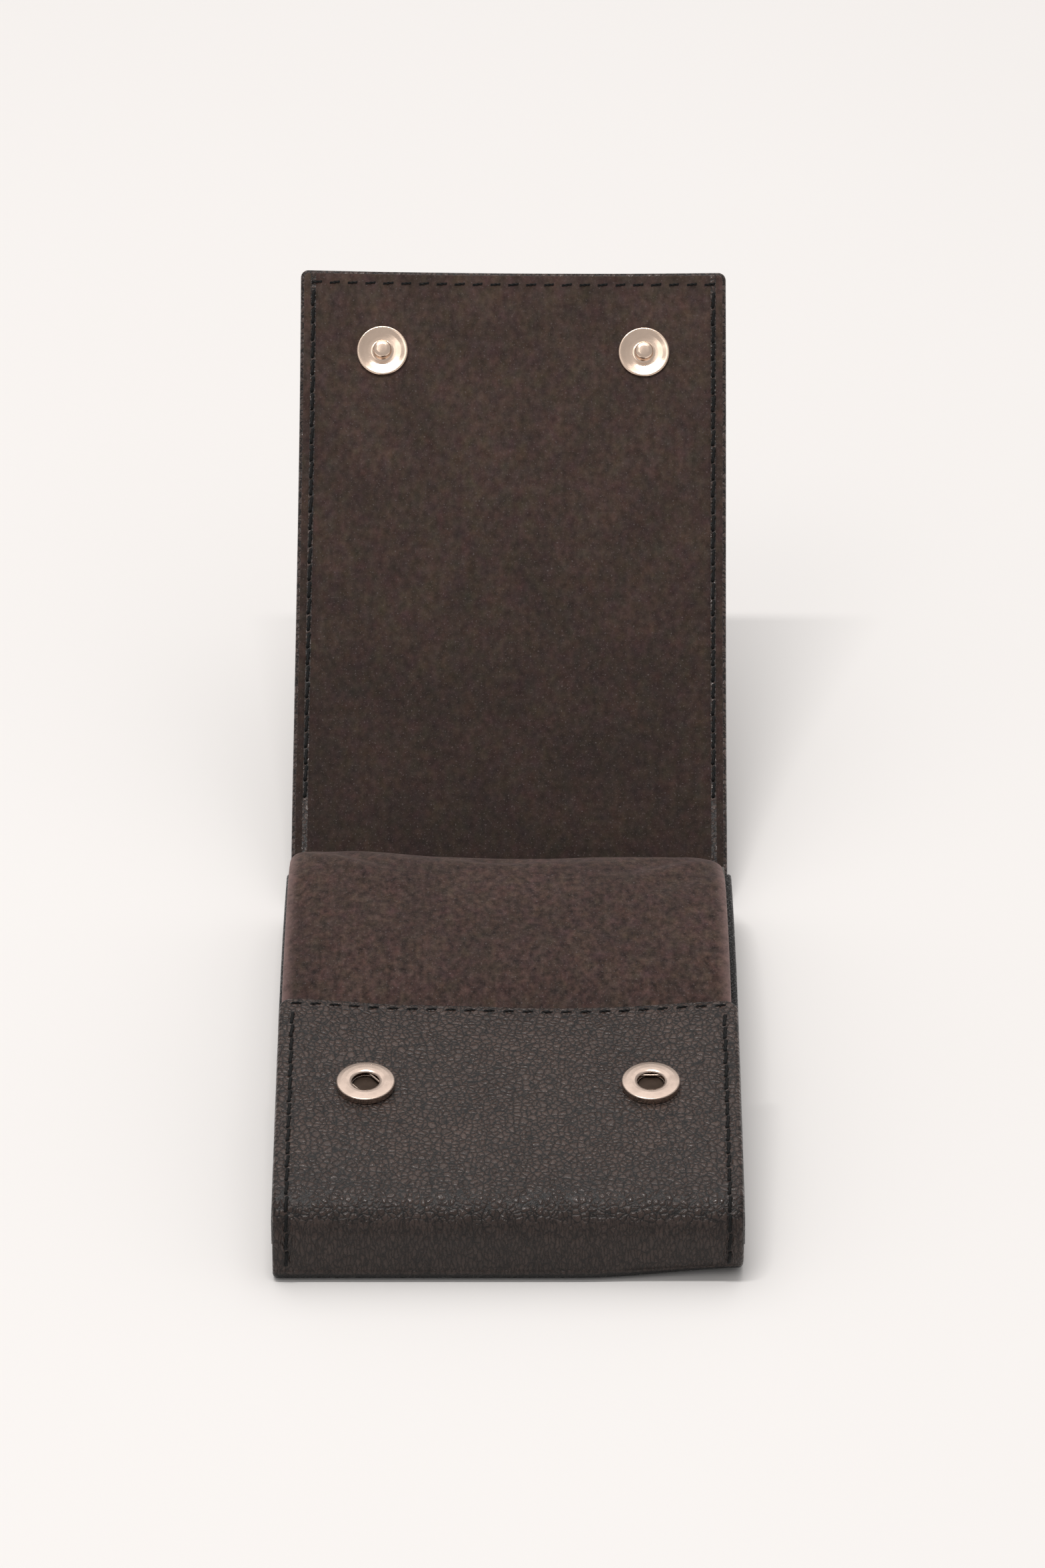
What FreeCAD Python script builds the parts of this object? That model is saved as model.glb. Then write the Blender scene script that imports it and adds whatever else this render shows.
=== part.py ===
import FreeCAD, Part
import cmath
import math
import os

# Jewelry box: a strip of lined leather wrapped round a suede sleeve, with a drawer that slides
# out of either end of the sleeve. Millimetres. X across, the front faces -Y, +Z up, and the
# origin is on the table under the middle of the box. Side profiles are complex numbers, y + z*i.

os.makedirs("parts", exist_ok=True)

# The wrap
WIDTH = 100.0
LEATHER = 1.1
BOARD = 0.6
LINING = 0.5
THICK = LEATHER + BOARD + LINING
SEAM_GAP = 0.1

# Side profile of the front of the wrap, along its outer face
BACK_Y = 77.0
BASE_RUN = 151.6
LOW_BEND = (2.6, -90.0)
FRONT_RISE = 6.93
TOP_BEND = (9.5, -80.4)
FRONT_FLAP_ARC = (1043.0, -3.4)
FRONT_FLAP_CORNER = 3.0

# Side profile of the back of the wrap, along its lined face
BACK_LEAN = 46.0
BACK_WALL_LENGTH = 22.6
BACK_WALL_TURN = -12.0
FLAP_KINK = -0.5
FLAP_LENGTH = 133.6
FLAP_RADIUS = 475.0
FLAP_CORNER = 1.8

# Press studs and their sockets
SNAP_X = 30.7
SOCKET_FROM_EDGE = 28.9
STUD_FROM_FOLD = 114.14
SOCKET_R = 6.25
SOCKET_HEIGHT = 1.7
SOCKET_HOLE_R = 2.95
SPRING_R = 0.25
WIRE_X = 2.56
GROOVE_R = 4.5
STUD_R = 6.0
RIVET_R = 4.5

# Stitching
STITCH_LENGTH = 2.7
STITCH_R = 0.3
STITCH_PITCH = 4.2
STITCH_INSET = 3.0

# The sleeve and its drawer
SLEEVE_HALF = 49.4
SLEEVE_GAP = 0.3
SLEEVE_FLOOR = THICK + 0.05
SLEEVE_SUEDE = 0.6
FOAM = 2.5
SLEEVE_BOARD = 1.2
SLEEVE_BACK_GAP = 2.0
BACK_ROUND = 12.0
BACK_ROUND_Z = 9.5
DOME_FRONT_RADIUS = 200.0
SLIDE_GAP = 0.5
TRAY_HALF = 48.6
TRAY_WALL = 1.2
DRAWER_END = 1.8


def step(point, heading, length, turn):
    """Where a walk of that length ends when it turns evenly on the way."""
    if abs(turn) < 1e-9:
        return point + cmath.rect(length, heading)
    radius = length / turn
    return point + radius * (cmath.rect(1, heading + turn - math.pi / 2) - cmath.rect(1, heading - math.pi / 2))


def along(start, heading_deg, pieces):
    """A path of pieces (length, turn in degrees), each starting the way the last one ended."""
    rows = []
    point = start
    heading = math.radians(heading_deg)
    for length, turn_deg in pieces:
        turn = math.radians(turn_deg)
        rows.append((point, heading, length, turn))
        point = step(point, heading, length, turn)
        heading += turn
    return rows


def arc(radius, turn_deg):
    """A piece of path that turns through an angle at a radius."""
    return (abs(radius * math.radians(turn_deg)), turn_deg)


def length_of(path):
    return sum(row[2] for row in path)


def at(path, s):
    """Point and heading at a distance along a path."""
    for point, heading, length, turn in path[:-1]:
        if s <= length:
            break
        s -= length
    else:
        point, heading, length, turn = path[-1]
    part = turn * s / length
    return step(point, heading, s, part), heading + part


def offset(path, s, depth):
    """A point that far to the left of a path, or to the right if depth is negative."""
    point, heading = at(path, s)
    return point + cmath.rect(depth, heading + math.pi / 2)


def vec(point, x=0.0):
    return FreeCAD.Vector(x, point.real, point.imag)


def edges_along(path, s0, s1, depth, x):
    """The path's edges between two distances, moved sideways by depth."""
    edges = []
    done = 0.0
    for point, heading, length, turn in path:
        a = max(s0, done)
        b = min(s1, done + length)
        if b - a > 1e-6:
            ends = [vec(offset(path, s, depth), x) for s in (a + 1e-7, (a + b) / 2, b)]
            if abs(turn) < 1e-9:
                edges.append((ends[0], ends[2], None))
            else:
                edges.append((ends[0], ends[2], ends[1]))
        done += length
    return edges


def face_between(path, s0, s1, depth0, depth1, x):
    """The flat face between two offsets of a path."""
    near = edges_along(path, s0, s1, depth0, x)
    far = edges_along(path, s0, s1, depth1, x)
    outline = near + [(near[-1][1], far[-1][1], None)]
    outline += [(b, a, m) for a, b, m in reversed(far)]
    outline += [(far[0][0], near[0][0], None)]
    return outline_face(outline)


def outline_face(outline):
    """A face from edges (start, end, middle of an arc or None), with their ends joined exactly."""
    shapes = []
    first = outline[0][0]
    start = first
    for index, (a, b, middle) in enumerate(outline):
        end = first if index == len(outline) - 1 else b
        if middle is None:
            shapes.append(Part.LineSegment(start, end).toShape())
        else:
            shapes.append(Part.Arc(start, middle, end).toShape())
        start = end
    return Part.Face(Part.Wire(shapes))


def panel(path, s0, s1, depth0, depth1, half):
    """One layer of the wrap between two distances along its path."""
    face = face_between(path, s0, s1, depth0, depth1, -half)
    return face.extrude(FreeCAD.Vector(2 * half, 0, 0))


def round_corners(solid, path, s, depth0, depth1, half, radius):
    """Rounds the two outer corners that a panel has at distance s."""
    corners = [offset(path, s, depth0), offset(path, s, depth1)]
    chosen = []
    for edge in solid.Edges:
        points = [v.Point for v in edge.Vertexes]
        if len(points) != 2 or any(abs(abs(p.x) - half) > 1e-4 for p in points):
            continue
        if abs(points[0].x - points[1].x) > 1e-4:
            continue
        if all(min(abs(complex(p.y, p.z) - c) for c in corners) < 1e-3 for p in points):
            chosen.append(edge)
    return solid.makeFillet(radius, chosen)


def placed(shape, path, s, depth, x, flip=False):
    """A shape built on XY with its foot at the origin, stood on a path's face.

    Its Y axis follows the path. Its Z axis points left of the path, or right if flip is set.
    """
    point, heading = at(path, s)
    forward = FreeCAD.Vector(0, math.cos(heading), math.sin(heading))
    up = FreeCAD.Vector(0, -math.sin(heading), math.cos(heading))
    if flip:
        up = up * -1
    side = forward.cross(up)
    matrix = FreeCAD.Matrix(
        side.x, forward.x, up.x, x,
        side.y, forward.y, up.y, offset(path, s, depth).real,
        side.z, forward.z, up.z, offset(path, s, depth).imag,
        0, 0, 0, 1,
    )
    return shape.transformed(matrix, True)


def cylinder(radius, z0, z1):
    return Part.makeCylinder(radius, z1 - z0, FreeCAD.Vector(0, 0, z0))


def lathe(points):
    """A solid of revolution about Z from (radius, height) corners."""
    outline = [FreeCAD.Vector(r, 0, z) for r, z in points]
    face = Part.Face(Part.makePolygon(outline + outline[:1]))
    return face.revolve(FreeCAD.Vector(0, 0, 0), FreeCAD.Vector(0, 0, 1), 360)


def export(shape, name):
    shape.exportStep("parts/" + name + ".step")


def prism(profile, half):
    return profile.extrude(FreeCAD.Vector(2 * half, 0, 0))


# The wrap's two paths. The front one follows the outer face, with the lining on its right; the
# back one follows the lined face, with the leather on its right.
front_path = along(
    complex(BACK_Y, 0), 180,
    [(BASE_RUN, 0), arc(*LOW_BEND), (FRONT_RISE, 0), arc(*TOP_BEND), arc(*FRONT_FLAP_ARC)],
)
back_path = along(
    complex(BACK_Y, THICK), BACK_LEAN,
    [(BACK_WALL_LENGTH, BACK_WALL_TURN), (0.2, FLAP_KINK), (FLAP_LENGTH, math.degrees(FLAP_LENGTH / FLAP_RADIUS))],
)
low_bend_length = arc(*LOW_BEND)[0]
top_bend_length = arc(*TOP_BEND)[0]
low_cut = BASE_RUN + low_bend_length / 2
top_cut = BASE_RUN + low_bend_length + FRONT_RISE + top_bend_length / 2
front_end = length_of(front_path)
flap_start = BACK_WALL_LENGTH + 0.2
flap_end = length_of(back_path)
half_width = WIDTH / 2

# Layer depths, measured left of each path
front_layers = {
    "leather": (0.0, -LEATHER),
    "board": (-LEATHER, -LEATHER - BOARD),
    "lining": (-LEATHER - BOARD, -THICK),
}
back_layers = {
    "lining": (0.0, -LINING),
    "board": (-LINING, -LINING - BOARD),
    "leather": (-LINING - BOARD, -THICK),
}

layers = {}
for layer, (depth0, depth1) in front_layers.items():
    layers["base_" + layer] = panel(front_path, 0, low_cut, depth0, depth1, half_width)
    layers["front_wall_" + layer] = panel(
        front_path, low_cut + SEAM_GAP, top_cut, depth0, depth1, half_width
    )
    flap = panel(front_path, top_cut + SEAM_GAP, front_end, depth0, depth1, half_width)
    layers["front_flap_" + layer] = round_corners(
        flap, front_path, front_end, depth0, depth1, half_width, FRONT_FLAP_CORNER
    )
for layer, (depth0, depth1) in back_layers.items():
    layers["back_wall_" + layer] = panel(
        back_path, SEAM_GAP, BACK_WALL_LENGTH, depth0, depth1, half_width
    )
    flap = panel(back_path, flap_start + 0.3, flap_end, depth0, depth1, half_width)
    layers["flap_" + layer] = round_corners(
        flap, back_path, flap_end, depth0, depth1, half_width, FLAP_CORNER
    )

# Sockets on the front flap: a ring with a hollow rim, a sprung wire across its mouth, and the
# rivet that holds it through the leather.
socket_s = front_end - SOCKET_FROM_EDGE
socket_ring = lathe([
    (SOCKET_HOLE_R, 0.0), (SOCKET_R - 0.2, 0.0), (SOCKET_R, 0.2), (SOCKET_R, SOCKET_HEIGHT - 0.5),
    (SOCKET_R - 0.5, SOCKET_HEIGHT), (SOCKET_HOLE_R + 0.6, SOCKET_HEIGHT), (SOCKET_HOLE_R, SOCKET_HEIGHT - 0.35),
    (SOCKET_HOLE_R, SOCKET_HEIGHT - 0.55), (5.1, SOCKET_HEIGHT - 0.55), (5.1, 0.45), (SOCKET_HOLE_R, 0.45),
])
wire_half = math.sqrt(GROOVE_R ** 2 - WIRE_X ** 2)
wires = [
    Part.makeCylinder(SPRING_R, 2 * wire_half, FreeCAD.Vector(side * WIRE_X, -wire_half, 0), FreeCAD.Vector(0, 1, 0))
    for side in (-1, 1)
]
bow_angle = math.degrees(math.acos(WIRE_X / GROOVE_R))
bow = Part.makeTorus(
    GROOVE_R, SPRING_R, FreeCAD.Vector(0, 0, 0), FreeCAD.Vector(0, 0, 1), 0, 360, 180 - 2 * bow_angle
)
bow.rotate(FreeCAD.Vector(0, 0, 0), FreeCAD.Vector(0, 0, 1), bow_angle)
elbows = [Part.makeSphere(SPRING_R, FreeCAD.Vector(side * WIRE_X, wire_half, 0)) for side in (-1, 1)]
socket_spring = wires[0].multiFuse([wires[1], bow] + elbows)
socket_spring.translate(FreeCAD.Vector(0, 0, 0.8))
socket_rivet = cylinder(RIVET_R, -THICK, -THICK + 0.45).fuse(cylinder(2.0, -THICK, 0.0))
socket_rivet = socket_rivet.fuse(cylinder(2.8, 0.0, 0.35))

# Studs on the closing flap: a dished disc with a headed boss, held by a rivet under the leather.
stud_s = flap_start + STUD_FROM_FOLD
stud = lathe([
    (0.0, 0.0), (STUD_R - 0.4, 0.0), (STUD_R, 0.35), (STUD_R - 0.25, 0.75), (4.3, 0.5), (3.9, 0.62),
    (2.3, 0.6), (1.8, 1.0), (1.75, 1.4), (2.15, 1.8), (2.1, 2.2), (1.5, 2.55), (0.0, 2.65),
])
stud_rivet = cylinder(RIVET_R, -LINING - BOARD + 0.04, -LINING).fuse(cylinder(1.5, -LINING - BOARD + 0.04, 0.0))

snaps = {}
for name, x in (("left", -SNAP_X), ("right", SNAP_X)):
    snaps["socket_" + name] = placed(socket_ring, front_path, socket_s, 0.02, x)
    snaps["socket_spring_" + name] = placed(socket_spring, front_path, socket_s, 0.02, x)
    snaps["socket_rivet_" + name] = placed(socket_rivet, front_path, socket_s, 0.0, x)
    snaps["stud_" + name] = placed(stud, back_path, stud_s, 0.06, x)
    snaps["stud_rivet_" + name] = placed(stud_rivet, back_path, stud_s, 0.0, x)
    for layer, radius in (("leather", 2.05), ("board", 2.05), ("lining", RIVET_R + 0.05)):
        hole = placed(cylinder(radius, -4.0, 2.0), front_path, socket_s, 0.0, x)
        layers["front_flap_" + layer] = layers["front_flap_" + layer].cut(hole)
    for layer, radius in (("lining", 1.55), ("board", RIVET_R + 0.05)):
        hole = placed(cylinder(radius, -LINING - BOARD, 2.0), back_path, stud_s, 0.0, x)
        layers["flap_" + layer] = layers["flap_" + layer].cut(hole)

# Stitches: half-round lengths of thread lying on the face they are sewn through.
stitch = Part.makeCylinder(
    STITCH_R, STITCH_LENGTH, FreeCAD.Vector(0, -STITCH_LENGTH / 2, 0), FreeCAD.Vector(0, 1, 0), 360
).common(Part.makeBox(2, STITCH_LENGTH, 1, FreeCAD.Vector(-1, -STITCH_LENGTH / 2, 0)))
cross_stitch = stitch.copy()
cross_stitch.rotate(FreeCAD.Vector(0, 0, 0), FreeCAD.Vector(0, 0, 1), 90)


def seam_down_sides(path, s0, s1, depth, flip):
    """Stitches down both side edges of a panel."""
    count = int((s1 - s0) / STITCH_PITCH)
    margin = ((s1 - s0) - (count - 1) * STITCH_PITCH) / 2
    seam = []
    for index in range(count):
        for side in (-1, 1):
            s = s0 + margin + index * STITCH_PITCH
            seam.append(placed(stitch, path, s, depth, side * (half_width - STITCH_INSET), flip))
    return seam


def seam_across(path, s, depth, flip):
    """Stitches across the end of a flap."""
    run = WIDTH - 2 * STITCH_INSET - STITCH_PITCH
    count = int(run / STITCH_PITCH)
    return [
        placed(cross_stitch, path, s, depth, (index - (count - 1) / 2) * STITCH_PITCH, flip)
        for index in range(count)
    ]


LIFT = 0.02
seams = {
    "flap_stitching": seam_down_sides(back_path, flap_start + 2, flap_end - 4, LIFT, False)
    + seam_down_sides(back_path, flap_start + 2, flap_end - 4, -THICK - LIFT, True)
    + seam_across(back_path, flap_end - STITCH_INSET, LIFT, False)
    + seam_across(back_path, flap_end - STITCH_INSET, -THICK - LIFT, True),
    "back_wall_stitching": seam_down_sides(back_path, 2, BACK_WALL_LENGTH - 1, -THICK - LIFT, True),
    "front_wall_stitching": seam_down_sides(
        front_path, BASE_RUN + low_bend_length, top_cut - 2, LIFT, False
    ),
    "front_flap_stitching": seam_down_sides(front_path, top_cut + 2, front_end - 4, LIFT, False)
    + seam_across(front_path, front_end - 2.2, LIFT, False),
}

# The sleeve's side profile. Every layer follows the same curves, further in.
gap_depth = THICK + SLEEVE_GAP
flap_edge, edge_heading = at(front_path, front_end)
dome_foot = flap_edge + cmath.rect(gap_depth, edge_heading - math.pi / 2)
dome_angle = edge_heading
dome_peak = dome_foot + DOME_FRONT_RADIUS * complex(math.sin(dome_angle), 1 - math.cos(dome_angle))
back_centre = complex(BACK_Y - SLEEVE_BACK_GAP - BACK_ROUND, BACK_ROUND_Z)
across = back_centre.real - dome_peak.real
drop = dome_peak.imag - back_centre.imag
dome_back_radius = (across ** 2 + drop ** 2 - BACK_ROUND ** 2) / (2 * (drop - BACK_ROUND))
dome_back_angle = math.atan2(across, dome_back_radius - drop)
front_centre_z = LOW_BEND[0] + FRONT_RISE


def sleeve_profile(depth, floor, corner):
    """The sleeve's outline that far in from its suede, closed at a floor with small corners."""
    back_rise = back_centre.imag - floor - corner
    front_fall = front_centre_z - floor - corner
    start = complex(back_centre.real + BACK_ROUND - depth, floor + corner)
    pieces = [
        (back_rise, 0),
        arc(BACK_ROUND - depth, 90 - math.degrees(dome_back_angle)),
        arc(dome_back_radius - depth, math.degrees(dome_back_angle)),
        arc(DOME_FRONT_RADIUS - depth, math.degrees(dome_angle)),
        arc(-FRONT_FLAP_ARC[0] + gap_depth + depth, -FRONT_FLAP_ARC[1]),
        arc(TOP_BEND[0] - gap_depth - depth, -TOP_BEND[1]),
        (front_fall, 0),
        arc(corner, 90),
    ]
    path = along(start, 90, pieces)
    floor_start = at(path, length_of(path))[0]
    floor_end = start.real - corner
    pieces += [(floor_end - floor_start.real, 0), arc(corner, 90)]
    path = along(start, 90, pieces)
    return outline_face(edges_along(path, 0, length_of(path), 0, 0))


def tube_profile(depth, floor, corner, half):
    face = sleeve_profile(depth, floor, corner)
    face.translate(FreeCAD.Vector(-half, 0, 0))
    return prism(face, half)


suede_floor = SLEEVE_FLOOR + SLEEVE_SUEDE
board_depth = SLEEVE_SUEDE + FOAM
cavity_depth = board_depth + SLEEVE_BOARD
cavity_floor = suede_floor + SLEEVE_BOARD
suede_half = SLEEVE_HALF - 0.6
suede_outside = tube_profile(0, SLEEVE_FLOOR, 2.4, SLEEVE_HALF)
suede_inside = tube_profile(SLEEVE_SUEDE, suede_floor, 1.8, suede_half)
board_outside = tube_profile(board_depth, suede_floor, 1.0, suede_half)
cavity = tube_profile(cavity_depth, cavity_floor, 0.5, SLEEVE_HALF + 5)
sleeve = {
    "sleeve_suede": suede_outside.cut(suede_inside).cut(cavity),
    "sleeve_foam": suede_inside.cut(board_outside),
    "sleeve_board": board_outside.cut(cavity),
}

# The drawer: a tray whose walls follow the sleeve's roof, with padded leather ends.
tray_depth = cavity_depth + SLIDE_GAP
tray_floor = cavity_floor + 0.3
tray_outside = tube_profile(tray_depth, tray_floor, 0.4, TRAY_HALF)
box = tray_outside.BoundBox
inside_front = box.YMin + TRAY_WALL
inside_back = box.YMax - TRAY_WALL
inside_floor = tray_floor + TRAY_WALL
inside_half = TRAY_HALF - TRAY_WALL
hollow = Part.makeBox(
    2 * inside_half, inside_back - inside_front, 40,
    FreeCAD.Vector(-inside_half, inside_front, inside_floor),
)
lining_thickness = 0.5
lining_top = inside_floor + lining_thickness
drawer = {
    "drawer_tray": tray_outside.cut(hollow),
    "drawer_lining": Part.makeBox(
        2 * inside_half - 0.2, inside_back - inside_front - 0.2, lining_thickness,
        FreeCAD.Vector(-inside_half + 0.1, inside_front + 0.1, inside_floor),
    ),
}
end_profile = sleeve_profile(tray_depth, tray_floor, 0.4)
for name, side in (("left", -1), ("right", 1)):
    end = end_profile.extrude(FreeCAD.Vector(DRAWER_END, 0, 0))
    outer = [edge for edge in end.Edges if all(abs(v.X - DRAWER_END) < 1e-6 for v in edge.Vertexes)]
    end = end.makeFillet(0.6, outer)
    end.translate(FreeCAD.Vector(TRAY_HALF, 0, 0))
    if side < 0:
        end = end.mirror(FreeCAD.Vector(0, 0, 0), FreeCAD.Vector(1, 0, 0))
    drawer["drawer_end_" + name] = end

# Inside the drawer: two long dividers, two cross dividers, the ring rolls and an earring cushion.
DIVIDER = 1.0
BACK_DIVIDER_Y = 26.5
FRONT_DIVIDER_Y = -22.0
under_roof = tube_profile(tray_depth + 0.3, tray_floor, 0.3, inside_half - 0.1)


def divider(x0, x1, y0, y1):
    """An upright board between two corners, cut to the height of the sleeve's roof."""
    blank = Part.makeBox(x1 - x0, y1 - y0, 30, FreeCAD.Vector(x0, y0, lining_top))
    return blank.common(under_roof)


reach = inside_half - 0.15
drawer["divider_long_back"] = divider(-reach, reach, BACK_DIVIDER_Y, BACK_DIVIDER_Y + DIVIDER)
drawer["divider_long_front"] = divider(-reach, reach, FRONT_DIVIDER_Y - DIVIDER, FRONT_DIVIDER_Y)
drawer["divider_cross_back"] = divider(
    -DIVIDER / 2, DIVIDER / 2, BACK_DIVIDER_Y + DIVIDER + 0.1, inside_back - 0.2
)
drawer["divider_cross_front"] = divider(
    16.0, 16.0 + DIVIDER, inside_front + 0.2, FRONT_DIVIDER_Y - DIVIDER - 0.1
)

ROLLS = 3
ROLL_HEIGHT = 10.0
roll_room = (BACK_DIVIDER_Y - FRONT_DIVIDER_Y - 0.6) / ROLLS
roll_width = roll_room - 0.4
for index in range(ROLLS):
    middle = FRONT_DIVIDER_Y + 0.3 + (index + 0.5) * roll_room
    roll = Part.makeBox(
        2 * reach - 1.0, roll_width, ROLL_HEIGHT,
        FreeCAD.Vector(-reach + 0.5, middle - roll_width / 2, lining_top + 0.02),
    )
    ridge = [edge for edge in roll.Edges if edge.BoundBox.XLength > 50 and edge.BoundBox.ZMin > lining_top + 5]
    roll = roll.makeFillet(roll_width / 2 - 1.2, ridge)
    drawer["ring_roll_" + str(index + 1)] = roll

CUSHION_HEIGHT = 4.5
cushion_back = inside_back - 0.7
cushion = Part.makeBox(
    reach - DIVIDER / 2 - 1.0, cushion_back - BACK_DIVIDER_Y - DIVIDER - 0.6, CUSHION_HEIGHT,
    FreeCAD.Vector(-reach + 0.5, BACK_DIVIDER_Y + DIVIDER + 0.6, lining_top + 0.02),
)
rim = [edge for edge in cushion.Edges if edge.BoundBox.ZMin > lining_top + CUSHION_HEIGHT - 0.1]
drawer["earring_cushion"] = cushion.makeFillet(1.5, rim)

for group in (layers, snaps, sleeve, drawer):
    for name, shape in group.items():
        export(shape, name)
for name, stitches in seams.items():
    export(Part.makeCompound(stitches), name)
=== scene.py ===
import bmesh
import bpy
import cmath
import math
from mathutils import Matrix, Vector, noise


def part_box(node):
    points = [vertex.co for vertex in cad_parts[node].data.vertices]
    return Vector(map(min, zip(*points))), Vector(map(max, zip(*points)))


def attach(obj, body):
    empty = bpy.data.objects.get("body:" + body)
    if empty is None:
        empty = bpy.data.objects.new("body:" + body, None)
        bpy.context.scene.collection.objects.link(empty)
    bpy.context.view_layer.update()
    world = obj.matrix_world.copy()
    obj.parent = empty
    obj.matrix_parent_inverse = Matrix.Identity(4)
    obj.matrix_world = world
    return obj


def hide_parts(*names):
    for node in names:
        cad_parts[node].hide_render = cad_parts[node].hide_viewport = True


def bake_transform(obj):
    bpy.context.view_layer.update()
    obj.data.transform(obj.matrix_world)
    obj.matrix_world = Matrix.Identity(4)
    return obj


# Jewelry box: a strip of lined leather wrapped round a suede sleeve with a drawer in it.
# Shapes are worked out in millimetres and written to meshes in metres. Side profiles are
# complex numbers, y + z*i, and follow the same paths as the CAD.

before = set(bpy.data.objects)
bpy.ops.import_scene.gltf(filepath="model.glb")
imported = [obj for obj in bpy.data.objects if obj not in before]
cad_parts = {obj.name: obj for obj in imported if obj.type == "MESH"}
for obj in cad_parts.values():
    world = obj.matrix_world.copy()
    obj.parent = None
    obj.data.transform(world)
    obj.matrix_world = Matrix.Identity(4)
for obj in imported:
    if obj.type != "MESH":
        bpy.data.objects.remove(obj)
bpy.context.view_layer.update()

# The wrap, as in the CAD
HALF = 50.0
THICK = 2.2
BACK_Y = 77.0
BASE_RUN = 151.6
LOW_RADIUS = 2.6
FRONT_RISE = 6.93
TOP_BEND = (9.5, -80.4)
FRONT_FLAP_ARC = (1043.0, -3.4)
BACK_LEAN = 46.0
BACK_WALL_LENGTH = 22.6
BACK_WALL_TURN = -12.0
FLAP_KINK = -0.5
FLAP_LENGTH = 133.6
FLAP_RADIUS = 475.0
FRONT_FLAP_CORNER = 3.0
FLAP_CORNER = 1.8

# Press studs and stitching, as in the CAD
SNAP_X = 30.7
SOCKET_FROM_EDGE = 28.9
STUD_FROM_FOLD = 114.14
STITCH_PITCH = 4.2
STITCH_INSET = 3.0
TOP_ROW_INSET = 2.2

# The sleeve and its cavity, as in the CAD
SLEEVE_HALF = 49.4
SLEEVE_FLOOR = 2.25
SLEEVE_BACK = 75.0
SLEEVE_GAP = 0.3
BACK_ROUND = 12.0
BACK_ROUND_Z = 9.5
DOME_RADIUS = 200.0

# The wrap's own look: its rounder lower bend at the right, its bends, its painted edges and its skins
ROUND_LOW_RADIUS = 8.6
FOLD_REACH = 2.4
FOLD_LENGTH = 5.0
FREE_LENGTH = 34
RIM = 1.9
FLAP_RIM = 0.8
LINING_DEPTH = 0.45
LEATHER_INSIDE = 0.12
FLAP_SKEW = 0.9
THREAD_SUNK = 0.05
OUTSIDE_THREAD_SUNK = 0.02
CLOTH_FRAMES = 20
MM = 0.001

# Where pieces start on the flat material, so that no two show the same pattern
FAR_SIDE = 400
PAD_START = 800
PILLOW_START = 1000


# ---------------------------------------------------------------- paths

def step(point, heading, length, turn):
    """Where a walk of that length ends when it turns evenly on the way."""
    if abs(turn) < 1e-9:
        return point + cmath.rect(length, heading)
    radius = length / turn
    turned = cmath.rect(1, heading + turn - math.pi / 2) - cmath.rect(1, heading - math.pi / 2)
    return point + radius * turned


def along(start, heading_deg, pieces):
    """A path of pieces (length, turn in degrees), each starting the way the last one ended."""
    rows = []
    point = start
    heading = math.radians(heading_deg)
    for length, turn_deg in pieces:
        turn = math.radians(turn_deg)
        rows.append((point, heading, length, turn))
        point = step(point, heading, length, turn)
        heading += turn
    return rows


def arc(radius, turn_deg):
    """A piece of path that turns through an angle at a radius."""
    return (abs(radius * math.radians(turn_deg)), turn_deg)


def length_of(path):
    """The length of a whole path."""
    return sum(row[2] for row in path)


def at(path, s):
    """Point and heading at a distance along a path."""
    for point, heading, length, turn in path[:-1]:
        if s <= length:
            break
        s -= length
    else:
        point, heading, length, turn = path[-1]
    part = turn * s / length
    return step(point, heading, s, part), heading + part


def offset(path, s, depth):
    """A point that far to the left of a path, or to the right if depth is negative."""
    point, heading = at(path, s)
    return point + cmath.rect(depth, heading + math.pi / 2)


def ease(t):
    """0 to 1 smoothly as t goes from 0 to 1."""
    t = min(1.0, max(0.0, t))
    return t * t * (3 - 2 * t)


def mix(a, b, t):
    """A at t = 0, b at t = 1 and in between."""
    return a + (b - a) * t


def spread(a, b, pitch):
    """Even steps from a to b, both included."""
    count = max(1, round(abs(b - a) / pitch))
    return [a + (b - a) * index / count for index in range(count + 1)]


def front_path_with(radius):
    """The outer face of the base and the front, with that radius at the lower bend."""
    extra = radius - LOW_RADIUS
    return along(complex(BACK_Y, 0), 180, [
        (BASE_RUN - extra, 0),
        arc(radius, -90),
        (FRONT_RISE - extra, 0),
        arc(*TOP_BEND),
        arc(*FRONT_FLAP_ARC),
    ])


front_path = front_path_with(LOW_RADIUS)
round_path = front_path_with(ROUND_LOW_RADIUS)
low_bend_length = arc(LOW_RADIUS, 90)[0]
top_bend_length = arc(*TOP_BEND)[0]
wall_start = BASE_RUN + low_bend_length
top_bend_start = wall_start + FRONT_RISE
top_bend_end = top_bend_start + top_bend_length
front_end = length_of(front_path)

back_path = along(complex(BACK_Y, THICK), BACK_LEAN, [
    (BACK_WALL_LENGTH - FOLD_REACH, BACK_WALL_TURN),
    (FOLD_LENGTH, FLAP_KINK),
    (FLAP_LENGTH - FOLD_REACH, math.degrees(FLAP_LENGTH / FLAP_RADIUS)),
])
fold_s = BACK_WALL_LENGTH + 0.2
flap_end = length_of(back_path)


def waves(x, y, size, seed):
    """Smooth unevenness from about -1 to 1, with hollows about that far apart."""
    return noise.noise(Vector((x / size, y / size, seed))) * 1.6


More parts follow.
